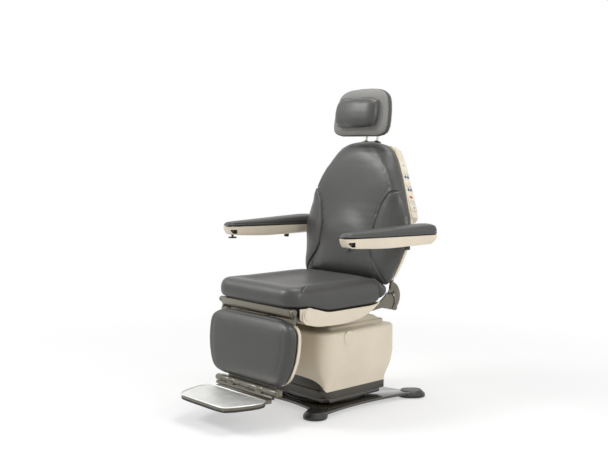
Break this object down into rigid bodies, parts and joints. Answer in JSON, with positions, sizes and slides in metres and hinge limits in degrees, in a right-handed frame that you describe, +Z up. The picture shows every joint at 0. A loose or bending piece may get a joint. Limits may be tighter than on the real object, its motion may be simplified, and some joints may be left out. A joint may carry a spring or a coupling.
{
  "type": "powered examination chair",
  "caption": "Powered eye-clinic examination chair: lifting and turning cabinet base, reclining back, winged armrests, adjustable headrest, swinging leg rest, folding footrest.",
  "frame": {"origin": "centre of the overall footprint, on the floor", "axes": "+Z up, the chair faces -Y, +X towards the sitter's left"},
  "size_m": [0.8268, 1.011, 1.3419],
  "materials": {
    "base_enamel": "gloss bronze enamel",
    "bronze_enamel": "satin bronze enamel",
    "bronze_cover": "moulded bronze cover",
    "cream_cover": "moulded cream cover",
    "black_plastic": "matte",
    "black_rubber": "matte",
    "zinc": "zinc plated",
    "dark_steel": "blackened steel",
    "chrome": "polished",
    "tread_plate": "fine grid pattern",
    "dark_board": "dark stained board",
    "upholstery": "satin vinyl over foam",
    "headrest_cover": "matte vinyl over foam",
    "panel_membrane": "printed membrane",
    "key_blue": "matte",
    "key_red": "matte"
  },
  "bodies": {
    "stand": {"base_frame": "base_enamel", "foot_caps": "black_plastic", "levelling_pads": "zinc", "swivel_ring": "black_plastic"},
    "turret": {"turntable_plate": "base_enamel", "plinth": "bronze_cover", "cabinet": "cream_cover", "lift_outer_column": "zinc", "lift_ram_body": "black_plastic"},
    "lift_middle": {"lift_middle_column": "zinc", "lift_cover_lower": "cream_cover"},
    "seat": {"lift_inner_column": "zinc", "lift_ram_rod": "chrome", "lift_cover_upper": "cream_cover", "seat_frame": "bronze_enamel", "hinge_plates": "bronze_enamel", "hinge_pins": "dark_steel", "front_rail": "bronze_enamel", "seat_shell": "cream_cover", "seat_board": "dark_board", "seat_cushion": "upholstery", "leg_actuator_body": "black_plastic", "back_actuator_body": "black_plastic"},
    "leg_rod": {"leg_actuator_rod": "chrome"},
    "back_rod": {"back_actuator_rod": "chrome"},
    "leg": {"leg_frame": "bronze_enamel", "leg_shell": "cream_cover", "leg_pad": "upholstery", "foot_hinge_pin": "bronze_enamel"},
    "foot": {"foot_frame": "bronze_enamel", "foot_tread": "tread_plate", "foot_rubber": "black_rubber"},
    "back": {"back_crescents": "bronze_enamel", "back_cross_tube": "bronze_enamel", "back_board": "dark_board", "back_shell": "cream_cover", "back_cushion": "upholstery", "arm_brackets": "zinc", "panel_overlay": "panel_membrane", "headrest_guide": "black_plastic"},
    "headrest_mount": {"headrest_posts": "chrome"},
    "headrest": {"headrest_shell": "cream_cover", "headrest_pad": "headrest_cover", "headrest_pillow": "headrest_cover"},
    "headrest_clamp": {"headrest_knob": "black_plastic"},
    "key_back_up_body": {"key_back_up": "key_blue"},
    "key_back_down_body": {"key_back_down": "key_blue"},
    "key_seat_up_body": {"key_seat_up": "key_blue"},
    "key_seat_down_body": {"key_seat_down": "key_blue"},
    "key_stop_body": {"key_stop": "key_red"},
    "arm_right": {"arm_frame_right": "black_plastic", "arm_shell_right": "cream_cover", "arm_pad_right": "upholstery"},
    "arm_release_body_right": {"arm_release_right": "black_plastic"},
    "arm_lock_body_right": {"arm_lock_knob_right": "black_plastic"},
    "arm_left": {"arm_frame_left": "black_plastic", "arm_shell_left": "cream_cover", "arm_pad_left": "upholstery"},
    "arm_release_body_left": {"arm_release_left": "black_plastic"},
    "arm_lock_body_left": {"arm_lock_knob_left": "black_plastic"}
  },
  "joints": [
    {"name": "swivel", "type": "hinge", "parent": "stand", "child": "turret", "pos_m": [0, 0.15742, 0.04], "axis": [0, 0, 1], "range_deg": [-165, 165]},
    {"name": "lift", "type": "slide", "parent": "turret", "child": "seat", "axis": [0, 0, 1], "range_m": [0, 0.22]},
    {"name": "lift_stage", "type": "slide", "parent": "turret", "child": "lift_middle", "axis": [0, 0, 1], "range_m": [0, 0.11]},
    {"name": "recline", "type": "hinge", "parent": "seat", "child": "back", "pos_m": [0, 0.31542, 0.452], "axis": [-1, 0, 0], "range_deg": [0, 78]},
    {"name": "back_drive", "type": "slide", "parent": "seat", "child": "back_rod", "axis": [0, -1, 0], "range_m": [0, 0.0794]},
    {"name": "leg_swing", "type": "hinge", "parent": "seat", "child": "leg", "pos_m": [0, -0.22058, 0.447], "axis": [-1, 0, 0], "range_deg": [0, 78]},
    {"name": "leg_drive", "type": "slide", "parent": "seat", "child": "leg_rod", "axis": [0, -1, 0], "range_m": [0, 0.0787]},
    {"name": "foot_fold", "type": "hinge", "parent": "leg", "child": "foot", "pos_m": [0, -0.27261, 0.12799], "axis": [-1, 0, 0], "range_deg": [0, 88]},
    {"name": "headrest_height", "type": "slide", "parent": "back", "child": "headrest_mount", "axis": [0, 0.1908, 0.9816], "range_m": [0, 0.09]},
    {"name": "headrest_tilt", "type": "hinge", "parent": "headrest_mount", "child": "headrest", "pos_m": [0, 0.41792, 1.18898], "axis": [-1, 0, 0], "range_deg": [-15, 35]},
    {"name": "headrest_clamp_turn", "type": "hinge", "parent": "headrest_mount", "child": "headrest_clamp", "pos_m": [0, 0.41792, 1.18898], "axis": [1, 0, 0], "range_deg": [0, 270]},
    {"name": "key_back_up_press", "type": "slide", "parent": "back", "child": "key_back_up_body", "axis": [-0.8938, -0.0856, -0.4403], "range_m": [0, 0.0007], "stiffness_N_per_m": 1200, "springref_m": -0.0006},
    {"name": "key_back_down_press", "type": "slide", "parent": "back", "child": "key_back_down_body", "axis": [-0.8938, -0.0856, -0.4403], "range_m": [0, 0.0007], "stiffness_N_per_m": 1200, "springref_m": -0.0006},
    {"name": "key_seat_up_press", "type": "slide", "parent": "back", "child": "key_seat_up_body", "axis": [-0.8938, -0.0856, -0.4403], "range_m": [0, 0.0007], "stiffness_N_per_m": 1200, "springref_m": -0.0006},
    {"name": "key_seat_down_press", "type": "slide", "parent": "back", "child": "key_seat_down_body", "axis": [-0.8938, -0.0856, -0.4403], "range_m": [0, 0.0007], "stiffness_N_per_m": 1200, "springref_m": -0.0006},
    {"name": "key_stop_press", "type": "slide", "parent": "back", "child": "key_stop_body", "axis": [-0.8938, -0.0856, -0.4403], "range_m": [0, 0.0007], "stiffness_N_per_m": 1200, "springref_m": -0.0006},
    {"name": "arm_tilt_right", "type": "hinge", "parent": "back", "child": "arm_right", "pos_m": [-0.368, 0.37709, 0.70641], "axis": [-1, 0, 0], "range_deg": [-75, 95]},
    {"name": "arm_release_press_right", "type": "slide", "parent": "arm_right", "child": "arm_release_body_right", "axis": [0, 0, 1], "range_m": [0, 0.006], "stiffness_N_per_m": 500, "springref_m": -0.004},
    {"name": "arm_lock_turn_right", "type": "hinge", "parent": "arm_right", "child": "arm_lock_body_right", "pos_m": [-0.376, 0.26609, 0.67641], "axis": [0, 0, 1], "range_deg": [0, 270]},
    {"name": "arm_tilt_left", "type": "hinge", "parent": "back", "child": "arm_left", "pos_m": [0.368, 0.37709, 0.70641], "axis": [-1, 0, 0], "range_deg": [-75, 95]},
    {"name": "arm_release_press_left", "type": "slide", "parent": "arm_left", "child": "arm_release_body_left", "axis": [0, 0, 1], "range_m": [0, 0.006], "stiffness_N_per_m": 500, "springref_m": -0.004},
    {"name": "arm_lock_turn_left", "type": "hinge", "parent": "arm_left", "child": "arm_lock_body_left", "pos_m": [0.376, 0.26609, 0.67641], "axis": [0, 0, 1], "range_deg": [0, 270]}
  ],
  "couplings": [
    {"joint": "lift_stage", "follows": "lift", "ratio": 0.5},
    {"joint": "back_drive", "follows": "recline", "m_per_rad": 0.0579},
    {"joint": "leg_drive", "follows": "leg_swing", "m_per_rad": 0.0574}
  ]
}
